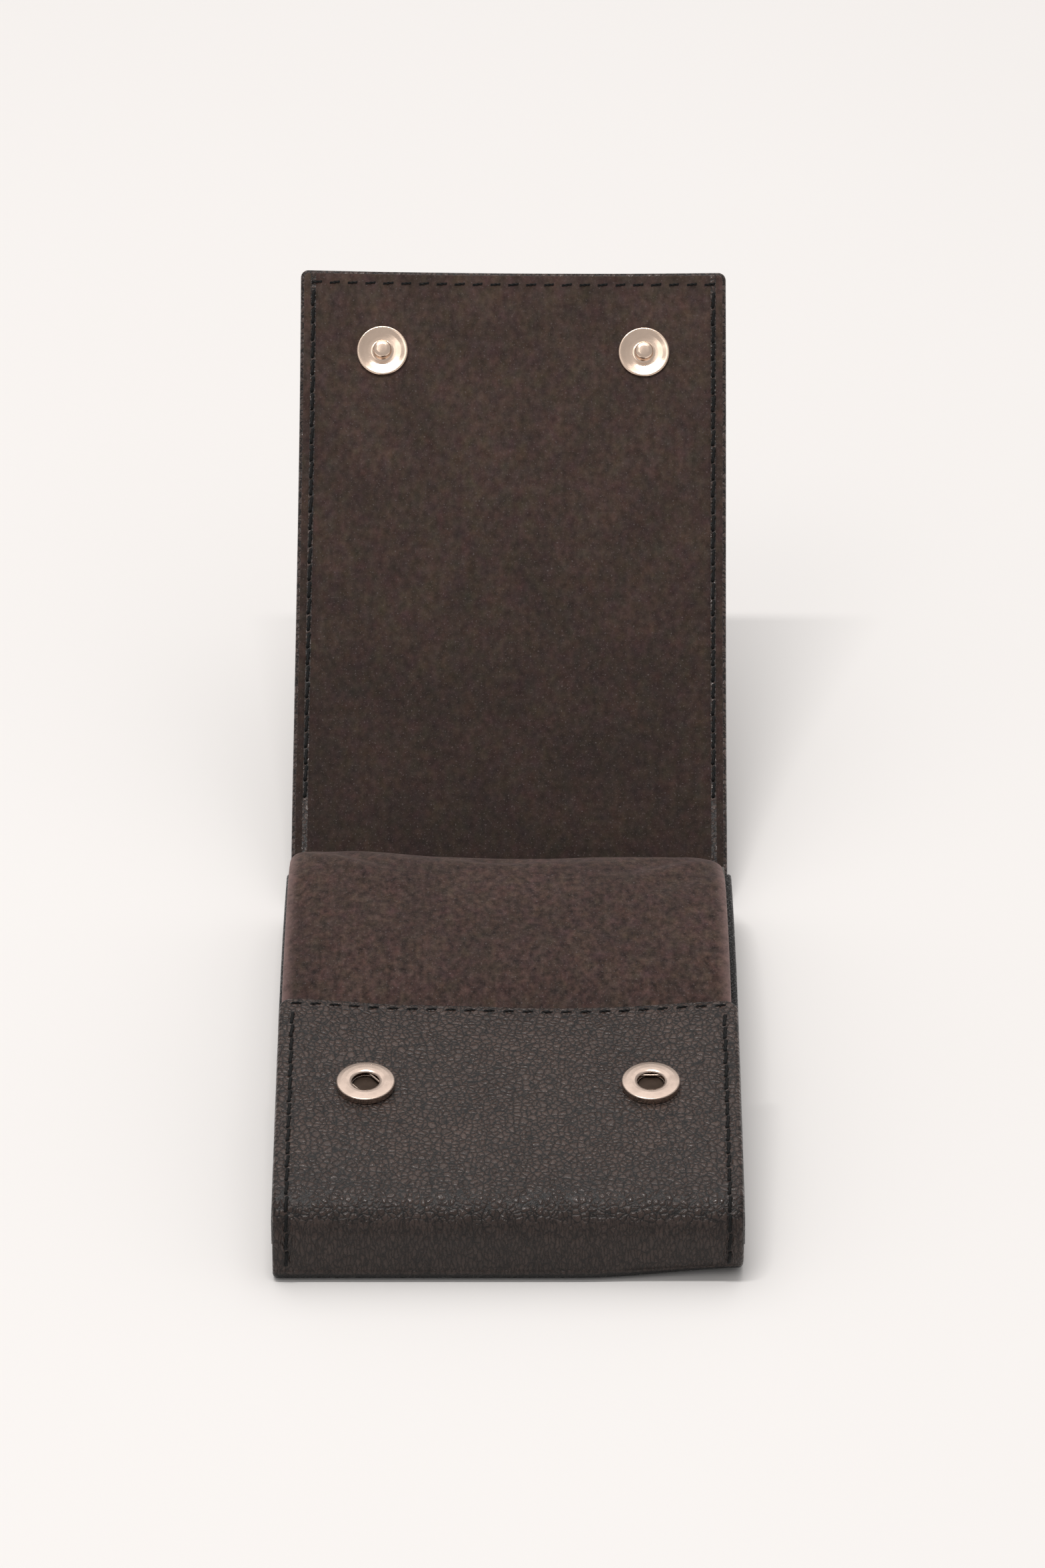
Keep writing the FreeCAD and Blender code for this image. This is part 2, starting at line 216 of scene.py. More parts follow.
def on_front(s, x, depth):
    """A point of the front of the wrap, depth inside its outer face.

    The free edge dips in its middle and its corners lift. The lower bend is rounder at the right.
    """
    t = x / HALF
    free = ease((s - front_end + FREE_LENGTH) / FREE_LENGTH)
    dip = math.exp(-(((t - 0.2) / 0.45) ** 2))
    left_lift = 1.5 * ease((-t - 0.45) / 0.55)
    right_lift = 0.9 * ease((t - 0.5) / 0.5)
    s -= 1.4 * free * dip
    depth -= free * (left_lift + right_lift)
    depth += 0.28 * waves(x, s, 24, 3.0) * ease((s - wall_start) / 12) * (1 - 0.6 * free)
    sharp = offset(front_path, s, -depth)
    round_length = length_of(round_path)
    near_bend = s - BASE_RUN + 30
    squeezed = mix(s * (round_length / front_end), s - front_end + round_length, ease(near_bend / 50))
    soft = offset(round_path, squeezed, -depth)
    softness = ease((x - 14) / 40) * ease(near_bend / 20) * ease((top_bend_start + 3 - s) / 9)
    point = mix(sharp, soft, softness)
    return Vector((x, point.real, point.imag)) * MM


def on_back(s, x, depth):
    """A point of the back wall and closing flap, depth behind its lined face.

    The flap is a little out of square.
    """
    t = x / HALF
    far = max(0.0, s / flap_end)
    s += far * (0.5 * t * t - 0.35 * t)
    depth += 0.16 * waves(x, s, 34, 7.0) * ease(far * 3)
    point = offset(back_path, s, -depth)
    return Vector((x + FLAP_SKEW * ease(far), point.real, point.imag)) * MM


root_path = along(complex(0, THICK), 0, [(BACK_Y - 1.5, 0), (3.0, BACK_LEAN), (2.0, 0)])


def on_root(s, x, depth):
    """A point of the back half of the base, which turns up at the back. Depth is below its lined face."""
    point = offset(root_path, s, -depth)
    return Vector((x, point.real, max(point.imag, 0.0))) * MM


# ---------------------------------------------------------------- meshes

def make_object(name, mesh):
    """An object of that mesh, in the scene."""
    piece = bpy.data.objects.new(name, mesh)
    bpy.context.scene.collection.objects.link(piece)
    return piece


def surface(name, rings, coords, caps=(True, True), at_rim=None):
    """A smooth mesh skinned over rings of points. Coords are each point's place on the flat material.

    Caps close the first and the last ring. At_rim tells which faces take the second material.
    """
    mesh = bmesh.new()
    layer = mesh.verts.layers.float_vector.new("flat")
    rows = []
    for ring, flats in zip(rings, coords):
        row = []
        for point, flat in zip(ring, flats):
            vertex = mesh.verts.new(point)
            vertex[layer] = Vector((flat[0], flat[1], 0)) * MM
            row.append(vertex)
        rows.append(row)
    width = len(rows[0])
    for low, high in zip(rows, rows[1:]):
        for index in range(width):
            nxt = (index + 1) % width
            face = mesh.faces.new((low[index], low[nxt], high[nxt], high[index]))
            if at_rim and at_rim(low[index][layer], high[nxt][layer]):
                face.material_index = 1
    if caps[0]:
        mesh.faces.new(rows[0][::-1])
    if caps[1]:
        mesh.faces.new(rows[-1])
    return finished(name, mesh)


def finished(name, mesh, merge=1e-6):
    """The object of a bmesh, with doubled points joined, faces turned outward and smooth shading."""
    bmesh.ops.remove_doubles(mesh, verts=mesh.verts, dist=merge)
    bmesh.ops.dissolve_degenerate(mesh, edges=mesh.edges, dist=merge / 10)
    bmesh.ops.recalc_face_normals(mesh, faces=mesh.faces)
    for face in mesh.faces:
        face.smooth = True
    data = bpy.data.meshes.new(name)
    mesh.to_mesh(data)
    mesh.free()
    return make_object(name, data)


def columns(half, edge):
    """Places across a panel: close together on its rounded edges and its seams."""
    middle = spread(0, 43, 1.8) + spread(43.5, half - edge, 0.45)
    side = [half - edge + edge * math.sin(math.radians(angle)) for angle in (20, 40, 58, 74, 90)]
    right = middle + side
    return [-x for x in reversed(right[1:])] + right


def plate(name, place, stations, half, depths, corner=0.0, groove=0.0, rim=None):
    """A panel with rounded edges between two depths, along a list of distances.

    With a corner radius, the last distance is a free end. Groove is how far the seams draw the
    face at the second depth in. Faces within rim of an edge take the second material.
    """
    edge = abs(depths[1] - depths[0]) / 2
    middle = (depths[0] + depths[1]) / 2
    last = stations[-1]
    if corner:
        tight = [last - corner + corner * math.sin(math.radians(angle)) for angle in range(0, 91, 9)]
        stations = [s for s in stations if s < last - corner - 0.2] + tight
    rings = []
    coords = []
    for s in stations:
        reach = half
        if corner and s > last - corner:
            reach = half - corner + math.sqrt(max(0.0, corner ** 2 - (s - last + corner) ** 2))
        across = [x * reach / half for x in columns(half, edge)]
        ring = []
        flats = []
        for side, row in ((0, across), (1, across[-2:0:-1])):
            for x in row:
                gap = half - abs(x)
                if corner:
                    gap = min(gap, last - s)
                    out = (max(0.0, abs(x) - half + corner), max(0.0, s - last + corner))
                    if min(out) > 0:
                        gap = corner - math.hypot(*out)
                gap = max(0.0, gap)
                bulge = math.sqrt(max(0.0, edge ** 2 - max(0.0, edge - gap) ** 2))
                sign = -1 if depths[0] < depths[1] else 1
                depth = middle + bulge * (sign if side == 0 else -sign)
                if side == 1:
                    seam = abs(half - abs(x) - groove_inset(half))
                    depth += groove * sign * math.exp(-((seam / 0.7) ** 2))
                ring.append(place(s, x, depth))
                flats.append((x, s + (FAR_SIDE if side else 0)))
        rings.append(ring)
        coords.append(flats)

    def at_rim(one, other):
        x = abs(one.x + other.x) / 2 / MM
        s = (one.y + other.y) / 2 / MM % FAR_SIDE
        return half - x < rim or (corner and last - s < rim)

    return surface(name, rings, coords, (True, not corner), at_rim if rim else None)


def groove_inset(half):
    """How far in from a panel's own edge the seam runs."""
    return STITCH_INSET - (HALF - half)


def lathe(name, profile, segments=96):
    """A turned piece about Z from (radius, height) points. Its flat coordinates are its own x, y and z."""
    mesh = bmesh.new()
    layer = mesh.verts.layers.float_vector.new("flat")
    rows = []
    for radius, height in profile:
        if radius < 1e-6:
            row = [mesh.verts.new((0, 0, height * MM))]
        else:
            row = []
            for index in range(segments):
                angle = 2 * math.pi * index / segments
                row.append(mesh.verts.new(
                    (radius * math.cos(angle) * MM, radius * math.sin(angle) * MM, height * MM)
                ))
        for vertex in row:
            vertex[layer] = vertex.co
        rows.append(row)
    for low, high in zip(rows, rows[1:]):
        for index in range(segments):
            nxt = (index + 1) % segments
            corners = [
                low[index % len(low)], low[nxt % len(low)],
                high[nxt % len(high)], high[index % len(high)],
            ]
            mesh.faces.new(list(dict.fromkeys(corners)))
    return finished(name, mesh)


def rounded(profile, radius, steps=4, closed=False):
    """A profile of (radius, height) corners with each corner cut to a small arc."""
    points = [complex(*p) for p in profile]
    result = []
    count = len(points)
    for index, corner in enumerate(points):
        if not closed and index in (0, count - 1):
            result.append((corner.real, corner.imag))
            continue
        before = points[index - 1] - corner
        after = points[(index + 1) % count] - corner
        reach = min(radius, abs(before) * 0.45, abs(after) * 0.45)
        start = corner + before / abs(before) * reach
        end = corner + after / abs(after) * reach
        for number in range(steps + 1):
            t = number / steps
            point = start * (1 - t) ** 2 + corner * 2 * t * (1 - t) + end * t ** 2
            result.append((point.real, point.imag))
    return result


def basis_on(place, s, x, depth, toward):
    """The transform that stands a turned piece on a panel.

    Its Z points to smaller depths if toward is -1, and to larger ones if it is 1.
    """
    here = place(s, x, depth)
    forward = (place(s + 0.5, x, depth) - place(s - 0.5, x, depth)).normalized()
    up = (place(s, x, depth + toward) - here).normalized()
    side = forward.cross(up).normalized()
    forward = up.cross(side)
    return Matrix.Translation(here) @ Matrix((side, forward, up)).transposed().to_4x4()


def tube(mesh, points, radius, segments=6):
    """Adds a closed tube along points to a bmesh. Its ends taper."""
    layer = mesh.verts.layers.float_vector.get("flat") or mesh.verts.layers.float_vector.new("flat")
    rows = []
    travelled = 0.0
    for index, point in enumerate(points):
        before = points[max(0, index - 1)]
        after = points[min(len(points) - 1, index + 1)]
        travelled += (point - before).length
        heading = (after - before).normalized()
        if index == 0:
            side = heading.orthogonal().normalized()
        else:
            side = (side - heading * side.dot(heading)).normalized()
        other = heading.cross(side)
        size = radius * (0.55 if index in (0, len(points) - 1) else 1.0) * MM
        row = []
        for number in range(segments):
            angle = 2 * math.pi * number / segments
            vertex = mesh.verts.new(point + (side * math.cos(angle) + other * math.sin(angle)) * size)
            vertex[layer] = Vector((travelled, angle * size, 0))
            row.append(vertex)
        rows.append(row)
    for low, high in zip(rows, rows[1:]):
        for number in range(segments):
            nxt = (number + 1) % segments
            mesh.faces.new((low[number], low[nxt], high[nxt], high[number]))
    mesh.faces.new(rows[0][::-1])
    mesh.faces.new(rows[-1])


def stitches(name, place, spots, depth, toward):
    """A seam of two-ply thread, standing up the way toward says. Each stitch dips in at both ends.

    Spots are (distance, x, along the path or not).
    """
    mesh = bmesh.new()
    for number, (s, x, lengthwise) in enumerate(spots):
        slant = 0.16 + 0.05 * math.sin(number * 2.4)
        long = (1.95 if lengthwise else 1.35) + 0.06 * math.sin(number * 1.7)
        for ply in (0, math.pi):
            points = []
            for index in range(11):
                t = index / 10 * 2 - 1
                rise = (0.26 - 0.5 * t ** 8) if lengthwise else (0.16 - 0.6 * t ** 6)
                swing = ply + t * 4.2
                run = t * long
                aside = slant * t + 0.15 * math.cos(swing)
                ds, dx = (run, aside) if lengthwise else (aside, run)
                points.append(place(s + ds, x + dx, depth + toward * (rise + 0.11 * math.sin(swing))))
            tube(mesh, points, 0.27 if lengthwise else 0.165)
    return finished(name, mesh, 1e-8)


def side_spots(s0, s1):
    """Spots for a row of stitches along each side, between two distances."""
    count = int((s1 - s0) / STITCH_PITCH)
    margin = ((s1 - s0) - (count - 1) * STITCH_PITCH) / 2
    return [
        (s0 + margin + index * STITCH_PITCH, side * (HALF - STITCH_INSET), True)
        for side in (-1, 1) for index in range(count)
    ]


def cross_spots(s):
    """Spots for a row of stitches across the panel."""
    count = int((2 * HALF - 2 * STITCH_INSET) / STITCH_PITCH) + 1
    return [(s, (index - (count - 1) / 2) * STITCH_PITCH, False) for index in range(count)]


def inflate(piece, held, pressure, cap):
    """Blows a closed fabric shape up against its own stiffness.

    Held is a test of which points stay, and cap is about the most that a point moves.
    """
    before = [vertex.co.copy() for vertex in piece.data.vertices]
    pinned = piece.vertex_groups.new(name="held")
    pinned.add([v.index for v in piece.data.vertices if held(v.co / MM)], 1.0, "REPLACE")
    cloth = piece.modifiers.new("cloth", "CLOTH")
    settings = cloth.settings
    settings.quality = 6
    settings.mass = 0.2
    settings.tension_stiffness = 8
    settings.compression_stiffness = 8
    settings.bending_stiffness = 1.5
    settings.use_pressure = True
    settings.uniform_pressure_force = pressure
    settings.effector_weights.gravity = 0
    settings.vertex_group_mass = "held"
    cloth.collision_settings.use_collision = False
    cloth.point_cache.frame_start = 1
    cloth.point_cache.frame_end = CLOTH_FRAMES
    for number in range(1, CLOTH_FRAMES + 1):
        bpy.context.scene.frame_set(number)
    shape = piece.evaluated_get(bpy.context.evaluated_depsgraph_get()).data
    after = [vertex.co.copy() for vertex in shape.vertices]
    piece.modifiers.remove(cloth)
    for vertex, start, end in zip(piece.data.vertices, before, after):
        move = end - start
        if move.length > 1e-9:
            limit = cap * MM
            vertex.co = start + move.normalized() * limit * math.tanh(move.length / limit)
    bpy.context.scene.frame_set(1)


def subdivide(piece):
    """Smooths a piece once, for views and for renders."""
    smoother = piece.modifiers.new("smooth", "SUBSURF")
    smoother.levels = 1
    smoother.render_levels = 1


# ---------------------------------------------------------------- materials

def add(tree, kind, inputs=None, **settings):
    """A shader node with its settings, and its inputs set to values or joined to sockets."""
    made = tree.nodes.new("ShaderNode" + kind)
    for key, value in settings.items():
        setattr(made, key, value)
    for key, value in (inputs or {}).items():
        if isinstance(value, bpy.types.NodeSocket):
            tree.links.new(value, made.inputs[key])
        else:
            made.inputs[key].default_value = value
    return made


def new_material(name):
    material = bpy.data.materials.new(name)
    material.use_nodes = True
    material.node_tree.nodes.clear()
    return material, material.node_tree


def colour(rgb):
    return (rgb[0], rgb[1], rgb[2], 1.0)


def scaled(rgb, factor):
    return tuple(channel * factor for channel in rgb)


def place_coords(tree, flat):
    """Where a texture is read: on the flat material for the wrap, or in the piece's own space."""
    if flat:
        return add(tree, "Attribute", attribute_name="flat").outputs["Vector"]
    return add(tree, "TexCoord").outputs["Object"]


def mapped(tree, value, low, high, to_low=0.0, to_high=1.0):
    node = add(tree, "MapRange", {
        "Value": value, "From Min": low, "From Max": high, "To Min": to_low, "To Max": to_high,
    }, interpolation_type="SMOOTHSTEP")
    return node.outputs["Result"]


def maths(tree, operation, a, b):
    return add(tree, "Math", {0: a, 1: b}, operation=operation).outputs[0]


def blend_colour(tree, how, amount, a, b):
    node = add(tree, "Mix", {0: amount, 6: a, 7: b}, data_type="RGBA", blend_type=how)
    return node.outputs[2]


def grain(tree, where, scale, detail=3.0, rough=0.55):
    return add(tree, "TexNoise", {"Vector": where, "Scale": scale, "Detail": detail, "Roughness": rough})


def stretched(tree, where, scale, turn=0.0):
    node = add(tree, "Mapping", {"Vector": where, "Rotation": (0, 0, turn), "Scale": scale})
    return node.outputs["Vector"]


def output(tree, shader):
    add(tree, "OutputMaterial", {"Surface": shader.outputs["BSDF"]})


SHEEN_RGB = (0.9, 0.72, 0.68)
FIBRE_RGB = (0.16, 0.1312, 0.128)
# Painted rim light: the paler colour along both sides of the sleeve pad.
PAINTED_RIM_LIGHT_RGB = (0.22, 0.14, 0.13)


def suede(name, rgb, flat=True, sheen=0.25, contrast=1.0, drawn=0.75, painted_shading_span=None, painted_rim_light_range=None):
    """Brushed suede: nap marks, small blotches of slightly different hue, pale fibres, a soft rim.

    Drawn below 1 lengthens its texture along the wrap. The shading range is a range of distances
    over which the colour goes from darker to lighter: painted shade and painted light. The rim range
    is how far from the middle the paler band at both sides starts and ends: a painted rim light.
    """
    material, tree = new_material(name)
    where = place_coords(tree, flat)
    fibres = stretched(tree, where, (1.0, drawn, 1.0))
    nap = grain(tree, fibres, 75, 3, 0.5).outputs["Fac"]
    blotch = grain(tree, fibres, 600, 5, 0.72).outputs["Fac"]
    fleck = grain(tree, fibres, 2300, 2, 0.6).outputs["Fac"]
    hue = grain(tree, fibres, 340, 2, 0.5).outputs["Color"]
    tone = add(tree, "ValToRGB", {"Fac": blotch})
    ramp = tone.color_ramp
    ramp.elements[0].position = 0.30
    ramp.elements[0].color = colour(scaled(rgb, 1 - 0.42 * contrast))
    ramp.elements[1].position = 0.72
    ramp.elements[1].color = colour(scaled(rgb, 1 + 0.55 * contrast))
    middle = ramp.elements.new(0.5)
    middle.color = colour(rgb)
    tinted = blend_colour(tree, "SOFT_LIGHT", 0.22, tone.outputs["Color"], hue)
    shade = mapped(tree, nap, 0.3, 0.7, 0.82, 1.16)
    # Painted shade and painted light: the colour is darker at the start of the shading range and lighter at
    # its end.
    if painted_shading_span:
        distance = add(tree, "SeparateXYZ", {"Vector": where}).outputs["Y"]
        painted_shading = mapped(tree, distance, painted_shading_span[0] * MM, painted_shading_span[1] * MM, 0.72, 1.26)
        shade = maths(tree, "MULTIPLY", shade, painted_shading)
    brushed = blend_colour(tree, "MULTIPLY", 1.0, tinted, shade)
    fibre = mapped(tree, fleck, 0.60, 0.74, 0.0, 0.55)
    pale = blend_colour(tree, "MIX", fibre, brushed, colour(FIBRE_RGB))
    # Painted rim light: a paler band along both sides, where the pile catches the light.
    if painted_rim_light_range:
        aside = maths(tree, "ABSOLUTE", add(tree, "SeparateXYZ", {"Vector": where}).outputs["X"], 0.0)
        rim_light_amount = mapped(tree, aside, painted_rim_light_range[0] * MM, painted_rim_light_range[1] * MM, 0.0, 0.85)
        rim_light_amount = maths(tree, "MULTIPLY", rim_light_amount, mapped(tree, blotch, 0.3, 0.6, 0.5, 1.0))
        pale = blend_colour(tree, "MIX", rim_light_amount, pale, colour(PAINTED_RIM_LIGHT_RGB))
    height = maths(tree, "ADD", maths(tree, "MULTIPLY", blotch, 0.6), maths(tree, "MULTIPLY", fleck, 0.5))
    bump = add(tree, "Bump", {"Height": height, "Strength": 0.55, "Distance": 0.00035})
    output(tree, add(tree, "BsdfPrincipled", {
        "Base Color": pale, "Roughness": mapped(tree, nap, 0.3, 0.7, 0.86, 0.98),
        "Specular IOR Level": 0.18, "Sheen Weight": sheen, "Sheen Roughness": 0.42,
        "Sheen Tint": colour(SHEEN_RGB), "Normal": bump.outputs["Normal"],
    }))
    return material


def leather(name, rgb, flat=True, pebble=1.35, creased=None, painted_shade_range=None, painted_contact_shadow_range=None):
    """Pebbled leather: uneven pebbles, dark creases between them, long creases, paler high spots.

    Creased is four distances along the wrap: fine upright creases take over from the pebbles
    between the first two and give way again between the last two. The painted shade range and the
    painted contact shadow range are ranges of distances: up to the first the leather is painted
    darker, or nearly black, and past the second it has its own colour.
    """
    material, tree = new_material(name)
    where = place_coords(tree, flat)
    distance = add(tree, "SeparateXYZ", {"Vector": where}).outputs["Y"]
    wobble = add(tree, "VectorMath", {
        0: grain(tree, where, 420, 3).outputs["Color"], 1: (0.5, 0.5, 0.5),
    }, operation="SUBTRACT").outputs["Vector"]
    wobble = add(tree, "VectorMath", {0: wobble, "Scale": 0.0011}, operation="SCALE").outputs["Vector"]
    bent = add(tree, "VectorMath", {0: where, 1: wobble}, operation="ADD").outputs["Vector"]
    dense = 1000 / pebble

    def edges(coords, scale):
        cells = add(tree, "TexVoronoi", {"Vector": coords, "Scale": scale}, feature="DISTANCE_TO_EDGE")
        return cells.outputs["Distance"]

    near = edges(bent, dense)
    small = mapped(tree, edges(bent, dense * 2.1), 0.0, 0.28)
    crease_tone = 0.04
    if creased:
        upright = edges(stretched(tree, bent, (1.9, 0.55, 1.0)), dense)
        amount = maths(
            tree, "MULTIPLY", mapped(tree, distance, creased[0] * MM, creased[1] * MM),
            mapped(tree, distance, creased[3] * MM, creased[2] * MM),
        )
        near = add(tree, "Mix", {0: amount, 2: near, 3: upright}).outputs[0]
        crease_tone = mapped(tree, amount, 0.0, 1.0, 0.04, 0.30)
    large = mapped(tree, near, 0.0, 0.34)
    long_cells = add(tree, "TexVoronoi", {
        "Vector": stretched(tree, bent, (1.0, 0.42, 1.0), 0.65), "Scale": 210,
    }, feature="DISTANCE_TO_EDGE")
    long_crease = mapped(tree, long_cells.outputs["Distance"], 0.0, 0.055)
    pebble_colour = add(tree, "TexVoronoi", {"Vector": bent, "Scale": dense}).outputs["Color"]
    tint = add(tree, "SeparateXYZ", {"Vector": pebble_colour}).outputs["X"]
    fine = grain(tree, where, 5200, 3, 0.6).outputs["Fac"]
    cloudy = grain(tree, where, 70, 3, 0.5).outputs["Fac"]

    height = maths(tree, "ADD", maths(tree, "MULTIPLY", large, 0.75), maths(tree, "MULTIPLY", small, 0.14))
    height = maths(tree, "ADD", height, maths(tree, "MULTIPLY", long_crease, 0.20))
    height = maths(tree, "ADD", height, maths(tree, "MULTIPLY", fine, 0.02))
    # Dark creases between the pebbles: partly the grain's own colour, partly painted shade.
    short_tone = mapped(tree, near, 0.0, 0.15, crease_tone, 1.0)
    long_tone = mapped(tree, long_crease, 0, 0.8, 0.74, 1)
    creases_and_painted_shade = maths(tree, "MULTIPLY", short_tone, long_tone)
    # Painted shade: up to the first distance of each range the colour is darker, and with the contact
    # shadow range nearly black, as a painted contact shadow.
    for limits, darkest in ((painted_shade_range, 0.60), (painted_contact_shadow_range, 0.05)):
        if limits:
            tone = mapped(tree, distance, limits[0] * MM, limits[1] * MM, darkest, 1.0)
            creases_and_painted_shade = maths(tree, "MULTIPLY", creases_and_painted_shade, tone)
    # Paler pebble tops: partly wear, partly painted highlight.
    top = mapped(tree, height, 0.95, 1.35, 0.0, 0.20)
    base = blend_colour(tree, "MULTIPLY", 1.0, colour(rgb), mapped(tree, tint, 0, 1, 0.84, 1.18))
    base = blend_colour(tree, "MULTIPLY", 1.0, base, mapped(tree, cloudy, 0.3, 0.7, 0.86, 1.12))
    base = blend_colour(tree, "MULTIPLY", 1.0, base, creases_and_painted_shade)
    base = blend_colour(tree, "MIX", top, base, colour(scaled(rgb, 2.1)))
    satin = mapped(tree, cloudy, 0.3, 0.7, 0.16, 0.24)
    rough = maths(tree, "ADD", satin, mapped(tree, large, 0, 1, 0.25, 0))
    bump = add(tree, "Bump", {"Height": height, "Strength": 1.0, "Distance": 0.00022})
    output(tree, add(tree, "BsdfPrincipled", {
        "Base Color": base, "Roughness": rough,
        "Specular IOR Level": 0.34, "Normal": bump.outputs["Normal"],
    }))
    return material


def edge_paint(name, rgb):
    """Painted cut edge: smooth, rounded, a little rubbed along its crown."""
    material, tree = new_material(name)
    where = place_coords(tree, True)
    drag = grain(tree, stretched(tree, where, (1.0, 0.25, 1.0)), 900, 3).outputs["Fac"]
    fine = grain(tree, where, 3800, 2).outputs["Fac"]
    rubbed = grain(tree, where, 160, 3).outputs["Fac"]
    dark = colour(scaled(rgb, 0.72))
    light = colour(scaled(rgb, 1.2))
    base = blend_colour(tree, "MIX", mapped(tree, drag, 0.3, 0.75), dark, light)
    wear = mapped(tree, rubbed, 0.55, 0.75, 0, 0.35)
    base = blend_colour(tree, "MIX", wear, base, colour(scaled(rgb, 1.6)))
    height = maths(tree, "ADD", maths(tree, "MULTIPLY", drag, 0.8), maths(tree, "MULTIPLY", fine, 0.25))
    bump = add(tree, "Bump", {"Height": height, "Strength": 0.35, "Distance": 0.00016})
    output(tree, add(tree, "BsdfPrincipled", {
        "Base Color": base, "Roughness": mapped(tree, drag, 0.3, 0.7, 0.42, 0.6),
        "Specular IOR Level": 0.4, "Normal": bump.outputs["Normal"],
    }))
    return material


def thread(name, rgb):
    """Waxed thread with fine fibres and a few pale hairs."""
    material, tree = new_material(name)
    where = place_coords(tree, True)
    fibre = grain(tree, stretched(tree, where, (0.4, 3.0, 1.0)), 6000, 3).outputs["Fac"]
    dust = grain(tree, place_coords(tree, False), 900, 2).outputs["Fac"]
    pale = colour(scaled(rgb, 2.4))
    base = blend_colour(tree, "MIX", mapped(tree, fibre, 0.35, 0.75), colour(rgb), pale)
    dusty = mapped(tree, dust, 0.6, 0.8, 0, 0.15)
    base = blend_colour(tree, "MIX", dusty, base, colour((0.06, 0.05, 0.05)))
    bump = add(tree, "Bump", {"Height": fibre, "Strength": 0.5, "Distance": 0.0001})
    output(tree, add(tree, "BsdfPrincipled", {
        "Base Color": base, "Roughness": mapped(tree, fibre, 0.3, 0.7, 0.55, 0.8),
        "Specular IOR Level": 0.25, "Normal": bump.outputs["Normal"],
    }))
    return material


def metal(name, rgb, rough):
    """Plated metal with faint turning marks, small scratches and cloudy handling marks."""
    material, tree = new_material(name)
    where = place_coords(tree, True)
    radius = add(tree, "VectorMath", {0: where}, operation="LENGTH").outputs["Value"]
    turned = grain(tree, add(tree, "CombineXYZ", {"X": radius}).outputs["Vector"], 9000, 2).outputs["Fac"]
    scratch = grain(tree, stretched(tree, where, (0.18, 4.0, 1.0), 0.5), 2600, 2, 0.7).outputs["Fac"]
    smear = grain(tree, where, 420, 3).outputs["Fac"]
    mark = mapped(tree, scratch, 0.66, 0.74)
    dull = colour(scaled(rgb, 0.86))
    base = blend_colour(tree, "MIX", mapped(tree, smear, 0.3, 0.75), colour(rgb), dull)
    scratched = maths(tree, "MULTIPLY", mark, 0.35)
    base = blend_colour(tree, "MIX", scratched, base, colour(scaled(rgb, 0.6)))
    cloudy = mapped(tree, smear, 0.3, 0.75, rough, rough + 0.1)
    roughness = maths(tree, "ADD", cloudy, maths(tree, "MULTIPLY", mark, 0.15))
    height = maths(tree, "ADD", maths(tree, "MULTIPLY", turned, 0.4), maths(tree, "MULTIPLY", scratch, 0.5))
    bump = add(tree, "Bump", {"Height": height, "Strength": 0.12, "Distance": 0.00004})
    output(tree, add(tree, "BsdfPrincipled", {
        "Base Color": base, "Metallic": 1.0, "Roughness": roughness,
        "Normal": bump.outputs["Normal"],
    }))
    return material


def card(name, rgb):
    """Pressed board: fine fibres, paler flecks and slightly worn tone."""
    material, tree = new_material(name)
    where = place_coords(tree, False)
    fibre = grain(tree, stretched(tree, where, (1.0, 2.6, 1.0), 0.4), 1500, 4).outputs["Fac"]
    cloud = grain(tree, where, 90, 3).outputs["Fac"]
    dark = colour(scaled(rgb, 0.78))
    light = colour(scaled(rgb, 1.2))
    base = blend_colour(tree, "MIX", mapped(tree, fibre, 0.3, 0.7), dark, light)
    base = blend_colour(tree, "MULTIPLY", 1.0, base, mapped(tree, cloud, 0.3, 0.7, 0.88, 1.1))
    bump = add(tree, "Bump", {"Height": fibre, "Strength": 0.4, "Distance": 0.0002})
    output(tree, add(tree, "BsdfPrincipled", {
        "Base Color": base, "Roughness": mapped(tree, cloud, 0.3, 0.7, 0.72, 0.9),
        "Specular IOR Level": 0.3, "Normal": bump.outputs["Normal"],
    }))
    return material


LEATHER_RGB = (0.061, 0.0405, 0.0335)
front_creases = (wall_start - 3, wall_start + 2, top_bend_start + 3, top_bend_start + 7)
# Painted shade: the front wall and the base below it are darker than the top of the front flap.
front_painted_shade_range = (top_bend_start, top_bend_end + 16)
leather_paint = leather("pebbled_leather", LEATHER_RGB)
front_paint = leather("front_leather", LEATHER_RGB, creased=front_creases, painted_shade_range=front_painted_shade_range)
# Painted contact shadow: nearly black over the base and most of its lower bend, where the front meets the
# floor.
edge_leather_painted_shadow = leather(
    "rolled_edge_leather_painted_shadow", LEATHER_RGB, creased=front_creases, painted_shade_range=front_painted_shade_range,
    painted_contact_shadow_range=(BASE_RUN + 1.2 * LOW_RADIUS, BASE_RUN + 1.5 * LOW_RADIUS),
)
paint = edge_paint("painted_edge", (0.115, 0.098, 0.088))
flap_paint = edge_paint("painted_flap_edge", (0.082, 0.063, 0.055))
end_leather = leather("black_leather", (0.018, 0.016, 0.016), flat=False, pebble=0.9)
# Painted shading on the lining: darker near the closing flap's fold, lighter towards its free end.
lining_suede = suede("lining_suede", (0.046, 0.030, 0.0245), painted_shading_span=(FAR_SIDE + 10, FAR_SIDE + flap_end))
